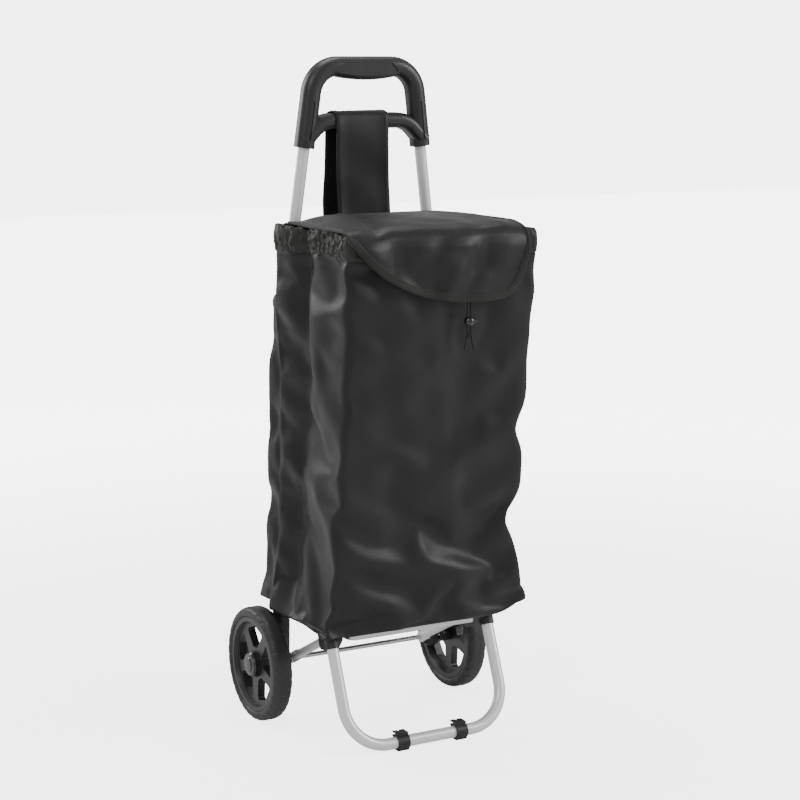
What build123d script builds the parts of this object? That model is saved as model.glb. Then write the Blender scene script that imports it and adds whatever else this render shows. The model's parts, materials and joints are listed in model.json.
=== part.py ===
"""Folding two-wheeled shopping trolley: silver tube frame, black fabric bag."""
import os
from math import atan2, cos, degrees, radians, sin, sqrt

from build123d import *

os.makedirs("parts", exist_ok=True)

# Driving dimensions, millimetres. X right, -Y front, Z up, floor at Z 0.
AXLE_Y = 78.4
AXLE_Z = 80.0
AXLE_D = 7.0
AXLE_HALF = 165.0
WHEEL_X = 155.0
WHEEL_R = 80.0
TYRE_W = 29.0
RIM_R = 66.0
RIM_W = 25.0
TUBE_R = 8.0
TUBE_WALL = 1.2
FRAME_X = 121.0
LEAN = 0.0305
LEAN_Z = 137.0
HANDLE_Z = 793.0
HANDLE_X = 89.65
HANDLE_SLOPE = 0.1317
FOOT_Z = 10.4
FOOT_Y = AXLE_Y - 208.0
FOOT_SLOPE = 0.411
BAG_Z0 = 160.2
BAG_Z1 = 690.0
CLOTH = 1.2
GAP = 0.3


def frame_y(z):
    """Y of the frame tubes' axis at height z."""
    return AXLE_Y - (z - LEAN_Z) * LEAN


def foot_y(z):
    """Y of the foot legs' axis at height z."""
    return FOOT_Y + (z - FOOT_Z) * FOOT_SLOPE


FRAME = Plane(origin=(0, AXLE_Y, LEAN_Z), x_dir=(1, 0, 0), z_dir=(0, -1, -LEAN))


def lift(z):
    """Height z as a distance up the leaning frame plane."""
    return z - LEAN_Z


def save(part, name):
    """Label a finished piece and write it as STEP."""
    part.label = name
    export_step(part, f"parts/{name}.step")


SIDES = (("left", -1), ("right", 1))

# Frame tubes: straight legs, then leaning inwards up to the handle.
for side, s in SIDES:
    with BuildPart() as frame_tube:
        with BuildLine() as route:
            FilletPolyline(
                (s * FRAME_X, frame_y(97), 97),
                (s * FRAME_X, frame_y(555), 555),
                (s * (HANDLE_X - 33 * HANDLE_SLOPE), frame_y(826), 826),
                radius=150,
            )
        with BuildSketch(Plane(origin=route.line @ 0, z_dir=route.line % 0)):
            Circle(TUBE_R)
            Circle(TUBE_R - TUBE_WALL, mode=Mode.SUBTRACT)
        sweep()
    save(frame_tube.part, f"frame_tube_{side}")

# Handle: one moulding with a grip loop, a crossbar and a sleeve for each tube.
GRIP_Z = 901.5
GRIP_X = HANDLE_X - HANDLE_SLOPE * (GRIP_Z - HANDLE_Z)
BAR_DEPTH = 30.0
with BuildPart() as handle_grip:
    with BuildLine(FRAME) as loop:
        FilletPolyline(
            (-HANDLE_X, lift(HANDLE_Z)),
            (-GRIP_X, lift(GRIP_Z)),
            (GRIP_X, lift(GRIP_Z)),
            (HANDLE_X, lift(HANDLE_Z)),
            radius=40,
        )
    with BuildSketch(
        Plane(origin=loop.line @ 0, x_dir=FRAME.z_dir, z_dir=loop.line % 0)
    ):
        RectangleRounded(29, 26, 12)
    sweep(path=loop.line)
    with BuildLine(FRAME) as belly:
        ThreePointArc((-50, lift(899)), (0, lift(893.5)), (50, lift(899)))
    with BuildSketch(
        Plane(origin=belly.line @ 0, x_dir=FRAME.z_dir, z_dir=belly.line % 0)
    ):
        RectangleRounded(27.2, 21, 9)
    sweep(path=belly.line)
    with BuildLine(FRAME) as arch:
        FilletPolyline(
            (-92, lift(801)),
            (-65, lift(828.5)),
            (65, lift(828.5)),
            (92, lift(801)),
            radius=38,
        )
    with BuildSketch(
        Plane(origin=arch.line @ 0, x_dir=FRAME.z_dir, z_dir=arch.line % 0)
    ):
        RectangleRounded(BAR_DEPTH, 21, 9)
    sweep(path=arch.line)
    # Shallow recess on the front of the grip.
    with BuildSketch(FRAME.offset(15)):
        with BuildLine():
            FilletPolyline(
                (-36, lift(907)),
                (36, lift(907)),
                (47, lift(896)),
                (36, lift(887)),
                (-36, lift(887)),
                (-47, lift(896)),
                close=True,
                radius=3,
            )
        make_face()
    extrude(amount=-2.0, mode=Mode.SUBTRACT)
    # Two grooves down the front of each side leave a pair of ridges.
    for s in (-1, 1):
        with BuildSketch(FRAME.offset(15)):
            with Locations((s * (HANDLE_X - 36 * HANDLE_SLOPE), lift(HANDLE_Z + 36))):
                SlotOverall(52, 3.2, rotation=90 + s * degrees(atan2(HANDLE_SLOPE, 1)))
        extrude(amount=-1.6, mode=Mode.SUBTRACT)
    # Bores for the tubes and holes for the screws.
    for s in (-1, 1):
        foot = Vector(s * (HANDLE_X + 8 * HANDLE_SLOPE), frame_y(785), 785)
        head = Vector(s * (HANDLE_X - 33.4 * HANDLE_SLOPE), frame_y(826.4), 826.4)
        with BuildSketch(Plane(origin=foot, z_dir=head - foot)):
            Circle(TUBE_R + 0.1)
        extrude(amount=(head - foot).length, mode=Mode.SUBTRACT)
        with BuildSketch(FRAME.offset(-TUBE_R - 0.2)):
            with Locations((s * (HANDLE_X - 18 * HANDLE_SLOPE), lift(HANDLE_Z + 18))):
                Circle(2.1)
        extrude(amount=-10, mode=Mode.SUBTRACT)
        with BuildSketch(FRAME.offset(-12.3)):
            with Locations((s * (HANDLE_X - 18 * HANDLE_SLOPE), lift(HANDLE_Z + 18))):
                Circle(4.2)
        extrude(amount=-6, mode=Mode.SUBTRACT)
save(handle_grip.part, "handle_grip")

# Handle screws: one in the back of each sleeve.
with BuildPart() as handle_screws:
    for s in (-1, 1):
        spot = (s * (HANDLE_X - 18 * HANDLE_SLOPE), lift(HANDLE_Z + 18))
        with BuildSketch(FRAME.offset(-12.4)):
            with Locations(spot):
                Circle(3.8)
        extrude(amount=-2)
        with BuildSketch(FRAME.offset(-TUBE_R - 0.3)):
            with Locations(spot):
                Circle(1.9)
        extrude(amount=-4.3)
        with BuildSketch(FRAME.offset(-14.4)):
            with Locations(spot):
                Rectangle(4.6, 0.9)
                Rectangle(0.9, 4.6)
        extrude(amount=1.1, mode=Mode.SUBTRACT)
save(handle_screws.part, "handle_screws")

# Wheel brackets: a socket for the frame tube, the axle boss and a front ear.
EAR_Y = AXLE_Y - 26.0
EAR_Z = 152.0
for side, s in SIDES:
    with BuildPart() as wheel_bracket:
        foot = Vector(s * FRAME_X, frame_y(67), 67)
        head = Vector(s * FRAME_X, frame_y(192), 192)
        with BuildSketch(Plane(origin=foot, x_dir=(1, 0, 0), z_dir=head - foot)):
            Circle(12)
        extrude(amount=(head - foot).length)
        fillet(wheel_bracket.edges().group_by(Axis.Z)[0], 4)
        with BuildSketch(Plane.YZ.offset(s * 103.6)):
            with BuildLine():
                Polyline(
                    (AXLE_Y, 140),
                    (EAR_Y - 3, 145),
                    (EAR_Y - 7, 150),
                    (EAR_Y - 7, 156),
                    (EAR_Y - 3, 159.6),
                    (AXLE_Y, 159.6),
                    close=True,
                )
            make_face()
        extrude(amount=s * 12)
        with BuildSketch(Plane(origin=head, x_dir=(1, 0, 0), z_dir=foot - head)):
            Circle(TUBE_R + 0.1)
        extrude(amount=95.3, mode=Mode.SUBTRACT)
        with BuildSketch(Plane.YZ.offset(s * 100)):
            with Locations((AXLE_Y, AXLE_Z)):
                Circle(AXLE_D / 2 + 0.1)
            with Locations((EAR_Y, EAR_Z)):
                Circle(2.6)
        extrude(amount=s * 40, mode=Mode.SUBTRACT)
    save(wheel_bracket.part, f"wheel_bracket_{side}")

# Axle rod with chamfered ends, then its washers and push nuts.
with BuildPart() as axle:
    with BuildSketch(Plane.YZ.offset(-AXLE_HALF)):
        with Locations((AXLE_Y, AXLE_Z)):
            Circle(AXLE_D / 2)
    extrude(amount=2 * AXLE_HALF)
    chamfer(axle.edges(), 0.8)
save(axle.part, "axle")


def rings(spans, outer, inner):
    """Rings on the axle line; spans are start X and thickness, both sides."""
    for start, thick in spans:
        for s in (-1, 1):
            with BuildSketch(Plane.YZ.offset(s * start)) as ring:
                with Locations((AXLE_Y, AXLE_Z)):
                    Circle(outer)
                    Circle(inner, mode=Mode.SUBTRACT)
            extrude(ring.sketch, amount=s * thick)


with BuildPart() as axle_washers:
    rings(((106.3, 2.4), (133.3, 1.6)), 8.0, AXLE_D / 2 + 0.1)
save(axle_washers.part, "axle_washers")

with BuildPart() as axle_nuts:
    rings(((160.4, 1.6),), 6.5, AXLE_D / 2 + 0.02)
save(axle_nuts.part, "axle_nuts")

# Wheels: rim with five spokes, tyre and hub cap.
HUB_IN = 135.3
HUB_OUT = 166.0
with BuildSketch() as window:
    with BuildLine():
        FilletPolyline(
            (24 * cos(radians(-14)), 24 * sin(radians(-14))),
            (51.5 * cos(radians(-28)), 51.5 * sin(radians(-28))),
            (54.5, 0),
            (51.5 * cos(radians(28)), 51.5 * sin(radians(28))),
            (24 * cos(radians(14)), 24 * sin(radians(14))),
            close=True,
            radius=4,
        )
    make_face()
for side, s in SIDES:
    with BuildPart() as rim:
        with BuildSketch(Plane.XY):
            with BuildLine():
                Polyline(
                    (s * (WHEEL_X - RIM_W / 2), RIM_R),
                    (s * (WHEEL_X - RIM_W / 2), RIM_R - 7),
                    (s * (WHEEL_X - RIM_W / 2 + 2), RIM_R - 8),
                    (s * (WHEEL_X - 4), RIM_R - 10),
                    (s * (WHEEL_X + 4), RIM_R - 10),
                    (s * (WHEEL_X + RIM_W / 2 - 2), RIM_R - 7),
                    (s * (WHEEL_X + RIM_W / 2), RIM_R - 6),
                    (s * (WHEEL_X + RIM_W / 2), RIM_R),
                    close=True,
                )
            make_face()
        revolve(axis=Axis.X)
        with BuildSketch(Plane.YZ.offset(s * (WHEEL_X - 4))):
            Circle(RIM_R - 8)
            with PolarLocations(0, 5, start_angle=90):
                add(window.sketch, mode=Mode.SUBTRACT)
        extrude(amount=s * 11)
        with BuildSketch(Plane.YZ.offset(s * HUB_IN)):
            Circle(11)
        extrude(amount=s * (WHEEL_X - HUB_IN))
        with BuildSketch(Plane.YZ.offset(s * (WHEEL_X - 4))):
            Circle(20)
        extrude(amount=s * (HUB_OUT - WHEEL_X + 4), taper=6)
        with BuildSketch(Plane.YZ.offset(s * HUB_OUT)):
            Circle(15)
        extrude(amount=-s * 6, mode=Mode.SUBTRACT)
        with BuildSketch(Plane.YZ.offset(s * (HUB_IN - 1))):
            Circle(AXLE_D / 2 + 0.15)
        extrude(amount=s * 40, mode=Mode.SUBTRACT)
    save(rim.part.moved(Location((0, AXLE_Y, AXLE_Z))), f"rim_{side}")

    with BuildPart() as tyre:
        with BuildSketch(Plane.XY):
            with BuildLine():
                Polyline(
                    (s * (WHEEL_X - TYRE_W / 2 + 2), RIM_R + 0.1),
                    (s * (WHEEL_X - TYRE_W / 2), RIM_R + 3),
                    (s * (WHEEL_X - TYRE_W / 2), WHEEL_R - 7),
                    (s * (WHEEL_X - TYRE_W / 2 + 2.5), WHEEL_R - 2.5),
                    (s * (WHEEL_X - TYRE_W / 2 + 7), WHEEL_R),
                    (s * (WHEEL_X + TYRE_W / 2 - 7), WHEEL_R),
                    (s * (WHEEL_X + TYRE_W / 2 - 2.5), WHEEL_R - 2.5),
                    (s * (WHEEL_X + TYRE_W / 2), WHEEL_R - 7),
                    (s * (WHEEL_X + TYRE_W / 2), RIM_R + 3),
                    (s * (WHEEL_X + TYRE_W / 2 - 2), RIM_R + 0.1),
                    close=True,
                )
            make_face()
        revolve(axis=Axis.X)
    save(tyre.part.moved(Location((0, AXLE_Y, AXLE_Z))), f"tyre_{side}")

    with BuildPart() as hub_cap:
        with BuildSketch(Plane.XY):
            with BuildLine():
                Polyline(
                    (s * (HUB_OUT + 0.2), 0),
                    (s * (HUB_OUT + 0.2), 12),
                    (s * (HUB_OUT - 4.5), 12),
                    (s * (HUB_OUT - 4.5), 14.7),
                    (s * (HUB_OUT + 0.2), 14.7),
                    (s * (HUB_OUT + 0.2), 17.5),
                    (s * (HUB_OUT + 3), 17.5),
                    (s * (HUB_OUT + 5.5), 15.5),
                    (s * (HUB_OUT + 6), 11),
                    (s * (HUB_OUT + 7.6), 9.5),
                    (s * (HUB_OUT + 8), 0),
                    close=True,
                )
            make_face()
        revolve(axis=Axis.X)
    save(hub_cap.part.moved(Location((0, AXLE_Y, AXLE_Z))), f"hub_cap_{side}")

# Struts: round tubes with flattened ends, from the axle to the foot brackets.
RIVET_Y = AXLE_Y - 121.5
RIVET_Z = 143.0
STRUT_X = 104.0
STRUT_LEN = sqrt((RIVET_Y - AXLE_Y) ** 2 + (RIVET_Z - AXLE_Z) ** 2)
for side, s in SIDES:
    along = Plane(
        origin=(s * STRUT_X, AXLE_Y, AXLE_Z),
        x_dir=(0, RIVET_Y - AXLE_Y, RIVET_Z - AXLE_Z),
        z_dir=(1, 0, 0),
    )
    with BuildPart() as strut:
        with BuildSketch(along.offset(-2)):
            with Locations((10, 0), (STRUT_LEN - 10, 0)):
                SlotCenterToCenter(20, 15)
        extrude(amount=4)
        with BuildSketch(
            Plane(origin=along.from_local_coords((24, 0, 0)), z_dir=along.x_dir)
        ):
            Circle(6)
        extrude(amount=STRUT_LEN - 56)
        for start, way in ((24, -1), (STRUT_LEN - 32, 1)):
            root = along.from_local_coords((start, 0, 0))
            turned = Plane(origin=root, x_dir=(1, 0, 0), z_dir=along.x_dir * way)
            with BuildSketch(turned):
                Circle(6)
            with BuildSketch(turned.offset(16)):
                RectangleRounded(4, 14.6, 1.9)
            loft()
        with BuildSketch(along.offset(-8)):
            Circle(AXLE_D / 2 + 0.1)
            with Locations((STRUT_LEN, 0)):
                Circle(2.6)
        extrude(amount=16, mode=Mode.SUBTRACT)
    save(strut.part, f"strut_{side}")

# Foot: one U-shaped tube.
with BuildPart() as foot_tube:
    with BuildLine() as route:
        FilletPolyline(
            (-FRAME_X, foot_y(156), 156),
            (-FRAME_X, foot_y(FOOT_Z), FOOT_Z),
            (FRAME_X, foot_y(FOOT_Z), FOOT_Z),
            (FRAME_X, foot_y(156), 156),
            radius=56,
        )
    with BuildSketch(Plane(origin=route.line @ 0, z_dir=route.line % 0)):
        Circle(TUBE_R)
        Circle(TUBE_R - TUBE_WALL, mode=Mode.SUBTRACT)
    sweep()
save(foot_tube.part, "foot_tube")

# Foot brackets: sleeve over the leg and an ear for the strut and platform.
PIN_Y = AXLE_Y - 149.0
PIN_Z = 152.0
for side, s in SIDES:
    low = Vector(s * FRAME_X, foot_y(136.5), 136.5)
    high = Vector(s * FRAME_X, foot_y(158), 158)
    with BuildPart() as foot_bracket:
        with BuildSketch(Plane(origin=low, x_dir=(1, 0, 0), z_dir=high - low)):
            Circle(9.6)
        extrude(amount=(high - low).length)
        with BuildSketch(Plane.YZ.offset(s * 106.4)):
            with BuildLine():
                Polyline(
                    (AXLE_Y - 107, 159.6),
                    (AXLE_Y - 109, 148),
                    (AXLE_Y - 115, 129),
                    (AXLE_Y - 119, 126),
                    (AXLE_Y - 144, 130),
                    (AXLE_Y - 158, 147),
                    (AXLE_Y - 156, 158),
                    (AXLE_Y - 153, 159.6),
                    close=True,
                )
            make_face()
        extrude(amount=s * 13.6)
        socket = Plane(origin=low, x_dir=(1, 0, 0), z_dir=high - low)
        with BuildSketch(socket.offset(-8)):
            Circle(TUBE_R + 0.1)
        extrude(amount=29.6, mode=Mode.SUBTRACT)
        with BuildSketch(Plane.YZ.offset(s * 100)):
            with Locations((PIN_Y, PIN_Z)):
                Circle(2.6)
        extrude(amount=s * 12.6, mode=Mode.SUBTRACT)
        with BuildSketch(Plane.YZ.offset(s * 100)):
            with Locations((RIVET_Y, RIVET_Z)):
                Circle(2.6)
        extrude(amount=s * 24, mode=Mode.SUBTRACT)
        with BuildSketch(Plane.YZ.offset(s * 118.2)):
            with Locations((RIVET_Y, RIVET_Z)):
                Circle(5.0)
        extrude(amount=s * 6, mode=Mode.SUBTRACT)
        split(bisect_by=Plane.XY.offset(159.8), keep=Keep.BOTTOM)
    save(foot_bracket.part, f"foot_bracket_{side}")


def rivets(y, z, start, end, head, ends):
    """A rivet along X on each side; ends lists which ends have a head."""
    for s in (-1, 1):
        with BuildSketch(Plane.YZ.offset(s * start)) as shank:
            with Locations((y, z)):
                Circle(2.5)
        extrude(shank.sketch, amount=s * (end - start))
        for at, way in ends:
            with BuildSketch(Plane.YZ.offset(s * at)) as dome:
                with Locations((y, z)):
                    Circle(head)
            extrude(dome.sketch, amount=s * way * 1.6, taper=25)


with BuildPart() as strut_rivets:
    rivets(RIVET_Y, RIVET_Z, 101.7, 118.3, 4.6, ((101.7, -1), (118.3, 1)))
save(strut_rivets.part, "strut_rivets")

# Platform: flat-bar loop under the bag with two cross wires.
BAR_X = 98.0
BAR_T = 3.0
BAR_H = 12.0
BAR_Z = 152.0
with BuildPart() as platform_frame:
    with BuildSketch(Plane.XY.offset(BAR_Z - BAR_H / 2)):
        with BuildLine() as edge:
            FilletPolyline(
                (-BAR_X, EAR_Y + 8),
                (-BAR_X, AXLE_Y - 164),
                (BAR_X, AXLE_Y - 164),
                (BAR_X, EAR_Y + 8),
                radius=12,
            )
        trace(edge.line, line_width=BAR_T)
    extrude(amount=BAR_H)
    with BuildSketch(Plane.YZ.offset(-BAR_X)):
        with Locations((AXLE_Y - 50, 155), (AXLE_Y - 92, 155), (AXLE_Y - 134, 155)):
            Circle(2.5)
    extrude(amount=2 * BAR_X)
    with BuildSketch(Plane.YZ.offset(-BAR_X - 10)):
        with Locations((EAR_Y, EAR_Z), (PIN_Y, PIN_Z)):
            Circle(2.6)
    extrude(amount=2 * BAR_X + 20, mode=Mode.SUBTRACT)
save(platform_frame.part, "platform_frame")

with BuildPart() as platform_rivets:
    rivets(EAR_Y, EAR_Z, 96.2, 115.9, 4.6, ((96.2, -1), (115.9, 1)))
    rivets(PIN_Y, PIN_Z, 96.2, 112.2, 4.6, ((96.2, -1),))
save(platform_rivets.part, "platform_rivets")

# Snap clips on the foot's cross tube: tube ring, flat pad and a rear jaw.
CLIP_X = 45.0
CLIP_W = 17.0
JAW_GAP = 3.4
for side, s in SIDES:
    with BuildPart() as clip:
        with BuildSketch(Plane.YZ.offset(s * CLIP_X - CLIP_W / 2)):
            with Locations((FOOT_Y, FOOT_Z)):
                Circle(FOOT_Z)
            with Locations((FOOT_Y, 1.5)):
                Rectangle(13, 3)
            with Locations((FOOT_Y + 3.5, FOOT_Z + 10)):
                Rectangle(14, 7.2)
            with Locations((FOOT_Y + 8.5, FOOT_Z + 10.4)):
                Rectangle(12, JAW_GAP, mode=Mode.SUBTRACT)
            with Locations((FOOT_Y, FOOT_Z)):
                Circle(TUBE_R + 0.05, mode=Mode.SUBTRACT)
        extrude(amount=CLIP_W)
        with BuildSketch(Plane.XY.offset(FOOT_Z + 11)):
            with Locations((s * CLIP_X, FOOT_Y + 10)):
                Rectangle(2.6, 7)
        extrude(amount=6, mode=Mode.SUBTRACT)
    save(clip.part, f"clip_{side}")

# Bag: a tall compartment, open at the top, wider in depth at its mouth.
BAG_W0 = 286.0
BAG_W1 = 283.0
BAG_FRONT0 = AXLE_Y - 168.0
BAG_FRONT1 = AXLE_Y - 224.0
BAG_BACK0 = AXLE_Y - 16.0
BAG_BACK1 = AXLE_Y - 38.0


def bag_section(z, inset):
    """The bag's outline at height z, drawn inwards by inset."""
    t = (z - BAG_Z0) / (BAG_Z1 - BAG_Z0)
    front = BAG_FRONT0 + (BAG_FRONT1 - BAG_FRONT0) * t + inset
    rear = BAG_BACK0 + (BAG_BACK1 - BAG_BACK0) * t - inset
    width = BAG_W0 + (BAG_W1 - BAG_W0) * t - 2 * inset
    with BuildSketch(Plane.XY.offset(z)) as outline:
        with Locations((0, (front + rear) / 2)):
            RectangleRounded(width, rear - front, 14 - min(inset, 6))
    return outline.sketch


with BuildPart() as bag_shell:
    loft([bag_section(BAG_Z0, 0), bag_section(BAG_Z1, 0)])
    inside = [bag_section(BAG_Z0 + CLOTH, CLOTH), bag_section(BAG_Z1 + 0.01, CLOTH)]
    loft(inside, mode=Mode.SUBTRACT)
save(bag_shell.part, "bag_shell")

with BuildPart() as bag_hem:
    loft([bag_section(BAG_Z1 - 32, -3.0), bag_section(BAG_Z1 + 1.5, -3.0)])
    inside = [bag_section(BAG_Z1 - 33, -GAP), bag_section(BAG_Z1 + 2, -GAP)]
    loft(inside, mode=Mode.SUBTRACT)
save(bag_hem.part, "bag_hem")

with BuildPart() as bag_base_board:
    extrude(bag_section(BAG_Z0 + CLOTH + GAP, 5), amount=3)
save(bag_base_board.part, "bag_base_board")

# Rear pocket panel: passes behind the frame tubes, open at top and bottom.
PANEL_Z0 = 172.0
PANEL_Z1 = 600.0
PANEL_Y0 = AXLE_Y + 18.0
PANEL_Y1 = AXLE_Y - 3.0
with BuildPart() as back_panel:
    for z, rear in ((PANEL_Z0, PANEL_Y0), (PANEL_Z1, PANEL_Y1)):
        t = (z - BAG_Z0) / (BAG_Z1 - BAG_Z0)
        near = BAG_BACK0 + (BAG_BACK1 - BAG_BACK0) * t - 12
        with BuildSketch(Plane.XY.offset(z)):
            with Locations((0, (near + rear) / 2)):
                RectangleRounded(BAG_W0 - 1 - 3 * t, rear - near, 10)
    loft()
    for z, rear in ((PANEL_Z0 - 1, PANEL_Y0), (PANEL_Z1 + 1, PANEL_Y1)):
        t = (z - BAG_Z0) / (BAG_Z1 - BAG_Z0)
        near = BAG_BACK0 + (BAG_BACK1 - BAG_BACK0) * t - 40
        rear = rear - CLOTH
        with BuildSketch(Plane.XY.offset(z)):
            with Locations((0, (near + rear) / 2)):
                RectangleRounded(BAG_W0 - 1 - 3 * t - 2 * CLOTH, rear - near, 9)
    loft(mode=Mode.SUBTRACT)
    for z in (PANEL_Z0 - 2, PANEL_Z1 + 2):
        t = (z - BAG_Z0) / (BAG_Z1 - BAG_Z0)
        near = BAG_BACK0 + (BAG_BACK1 - BAG_BACK0) * t + GAP
        with BuildSketch(Plane.XY.offset(z)):
            with Locations((0, near - 40)):
                Rectangle(400, 80)
    loft(mode=Mode.SUBTRACT)
    # Top edge dips in a shallow curve between the side seams.
    with BuildSketch(Plane.XZ.offset(-AXLE_Y - 60)):
        with BuildLine():
            ThreePointArc((-130, PANEL_Z1 + 5), (0, PANEL_Z1 - 9), (130, PANEL_Z1 + 5))
            Line((130, PANEL_Z1 + 5), (-130, PANEL_Z1 + 5))
        make_face()
    extrude(amount=120, mode=Mode.SUBTRACT)
save(back_panel.part, "back_panel")

PANEL_RISE = Vector(0, PANEL_Y1 - PANEL_Y0, PANEL_Z1 - PANEL_Z0).normalized()
PANEL_OUT = Vector(0, PANEL_RISE.Z, -PANEL_RISE.Y)
PANEL = Plane(
    origin=(0, PANEL_Y0, PANEL_Z0), x_dir=(-1, 0, 0), z_dir=PANEL_OUT
)

# Zip: tapes and teeth flat on the rear panel, a slider and its pull.
ZIP_Z = 535.0
ZIP_HALF = 80.0
ZIP_V = (ZIP_Z - PANEL_Z0) / PANEL_RISE.Z
with BuildPart() as zip_tape:
    with BuildSketch(PANEL.offset(0.1)):
        with Locations((0, ZIP_V)):
            RectangleRounded(2 * ZIP_HALF + 12, 17, 3)
    extrude(amount=0.7)
save(zip_tape.part, "zip_tape")

with BuildPart() as zip_teeth:
    with BuildSketch(PANEL.offset(0.85)):
        with Locations((0, ZIP_V)):
            with GridLocations(3.2, 0, 50, 1):
                Rectangle(2.2, 4.6)
            Rectangle(2 * ZIP_HALF, 1.4)
    extrude(amount=0.9)
save(zip_teeth.part, "zip_teeth")

SLIDER_U = -ZIP_HALF + 6.0
PULL_AT = PANEL.from_local_coords((SLIDER_U, ZIP_V, 5.7))
with BuildPart() as zip_slider:
    with BuildSketch(PANEL.offset(2.1)):
        with Locations((SLIDER_U, ZIP_V)):
            RectangleRounded(10, 9, 3)
    extrude(amount=2.2)
    with BuildSketch(PANEL.offset(4.2)):
        with Locations((SLIDER_U, ZIP_V)):
            Rectangle(2.2, 7)
    extrude(amount=3.6)
    with BuildSketch(Plane.YZ.offset(-SLIDER_U - 5)):
        with Locations((PULL_AT.Y, PULL_AT.Z)):
            Circle(1.1)
    extrude(amount=10, mode=Mode.SUBTRACT)
save(zip_slider.part, "zip_slider")

with BuildPart() as zip_pull:
    with BuildSketch(Plane.YZ.offset(PULL_AT.X - 3.4)):
        with Locations((PULL_AT.Y, PULL_AT.Z)):
            Circle(0.8)
    extrude(amount=6.8)
    for s in (-1, 1):
        with BuildSketch(Plane.XZ.offset(-PULL_AT.Y - 0.8)):
            with Locations((PULL_AT.X + s * 2.9, PULL_AT.Z - 3)):
                Rectangle(1.8, 8)
        extrude(amount=1.6)
    with BuildSketch(Plane.XZ.offset(-PULL_AT.Y - 0.8)):
        with Locations((PULL_AT.X, PULL_AT.Z - 14.5)):
            RectangleRounded(7.6, 17, 2.4)
        with Locations((PULL_AT.X, PULL_AT.Z - 19)):
            SlotOverall(3.6, 2.6, mode=Mode.SUBTRACT)
    extrude(amount=1.6)
save(zip_pull.part, "zip_pull")

# Hook-and-loop patch and the carrying strap over the crossbar.
with BuildPart() as hook_patch:
    with BuildSketch(PANEL.offset(0.15)):
        with Locations((-8, (577 - PANEL_Z0) / PANEL_RISE.Z)):
            RectangleRounded(70, 22, 2)
    extrude(amount=1.0)
save(hook_patch.part, "hook_patch")

STRAP_T = 1.6
STRAP_X = -8.0
BAR_FRONT = frame_y(828) - BAR_DEPTH / 2
BAR_REAR = frame_y(828) + BAR_DEPTH / 2
with BuildPart() as strap:
    with BuildSketch(Plane.YZ.offset(STRAP_X)):
        with BuildLine() as edge:
            FilletPolyline(
                (AXLE_Y - 32.5, 640),
                (AXLE_Y - 32.5, 700),
                (BAR_FRONT - 1.2, 812),
                (BAR_FRONT - 1.2, 842.4),
                (BAR_REAR + 1.2, 842.4),
                (BAR_REAR + 1.2, 812),
                (PANEL_Y1 + 2.2, 606),
                (PANEL_Y1 + 4.5, 557),
                radius=7,
            )
        trace(edge.line, line_width=STRAP_T)
    extrude(amount=40, both=True)
save(strap.part, "strap")

# Lid: top panel from the back seam, then an apron with a rounded lower edge.
HINGE_Y = AXLE_Y - 40.0
HINGE_Z = 698.0
APRON_Y = AXLE_Y - 232.6
LID_HALF = 133.0
with BuildPart() as lid:
    with BuildSketch(Plane.YZ):
        with BuildLine() as edge:
            FilletPolyline(
                (HINGE_Y + 1, HINGE_Z),
                (HINGE_Y - 90, HINGE_Z + 4),
                (APRON_Y, HINGE_Z - 3),
                (APRON_Y, 596),
                radius=8,
            )
        trace(edge.line, line_width=CLOTH)
    extrude(amount=LID_HALF, both=True)
    with BuildSketch(Plane.XZ.offset(-APRON_Y - 3)):
        with BuildLine():
            Line((-LID_HALF - 1, 690), (-LID_HALF - 1, 590))
            Line((-LID_HALF - 1, 590), (LID_HALF + 1, 590))
            Line((LID_HALF + 1, 590), (LID_HALF + 1, 690))
            Spline(
                (LID_HALF + 1, 690),
                (118, 652),
                (96, 615),
                (56, 601),
                (10, 598),
                (-42, 604),
                (-84, 628),
                (-112, 656),
                (-LID_HALF - 1, 690),
            )
        make_face()
    extrude(amount=6, mode=Mode.SUBTRACT)
save(lid.part, "lid")

with BuildPart() as lid_binding:
    with BuildSketch(Plane.XZ.offset(-APRON_Y + CLOTH / 2 + 0.1)):
        with BuildLine() as edge:
            Spline(
                (122, 676),
                (113, 650),
                (92.5, 619),
                (55, 605.2),
                (10, 602),
                (-40.5, 608),
                (-81.5, 632),
                (-108, 659),
                (-121, 680),
            )
        trace(edge.line, line_width=8)
    extrude(amount=0.8)
save(lid_binding.part, "lid_binding")

# Drawcord: two strands out of the hem, a knot and two tails.
CORD_X = 44.0
CORD_Y = AXLE_Y - 229.6
CORD_R = 1.3
CORD_HALF = 2.6
KNOT_Z = 557.0
with BuildPart() as drawcord:
    for s in (-1, 1):
        with BuildLine() as route:
            FilletPolyline(
                (CORD_X + s * CORD_HALF, CORD_Y, 657),
                (CORD_X + s * CORD_HALF, CORD_Y, KNOT_Z - 3),
                (CORD_X + s * 7, CORD_Y, KNOT_Z - 20),
                radius=12,
            )
        with BuildSketch(Plane(origin=route.line @ 0, z_dir=route.line % 0)):
            Circle(CORD_R)
        sweep()
save(drawcord.part, "drawcord")

with BuildPart() as cord_knot:
    with Locations((CORD_X, CORD_Y, KNOT_Z)):
        Sphere(4.4)
        Torus(3.3, 1.6, rotation=(0, 24, 0))
    for s in (-1, 1):
        with Locations((CORD_X + s * CORD_HALF, CORD_Y, KNOT_Z)):
            Cylinder(CORD_R + 0.05, 14, mode=Mode.SUBTRACT)
save(cord_knot.part, "cord_knot")

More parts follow.
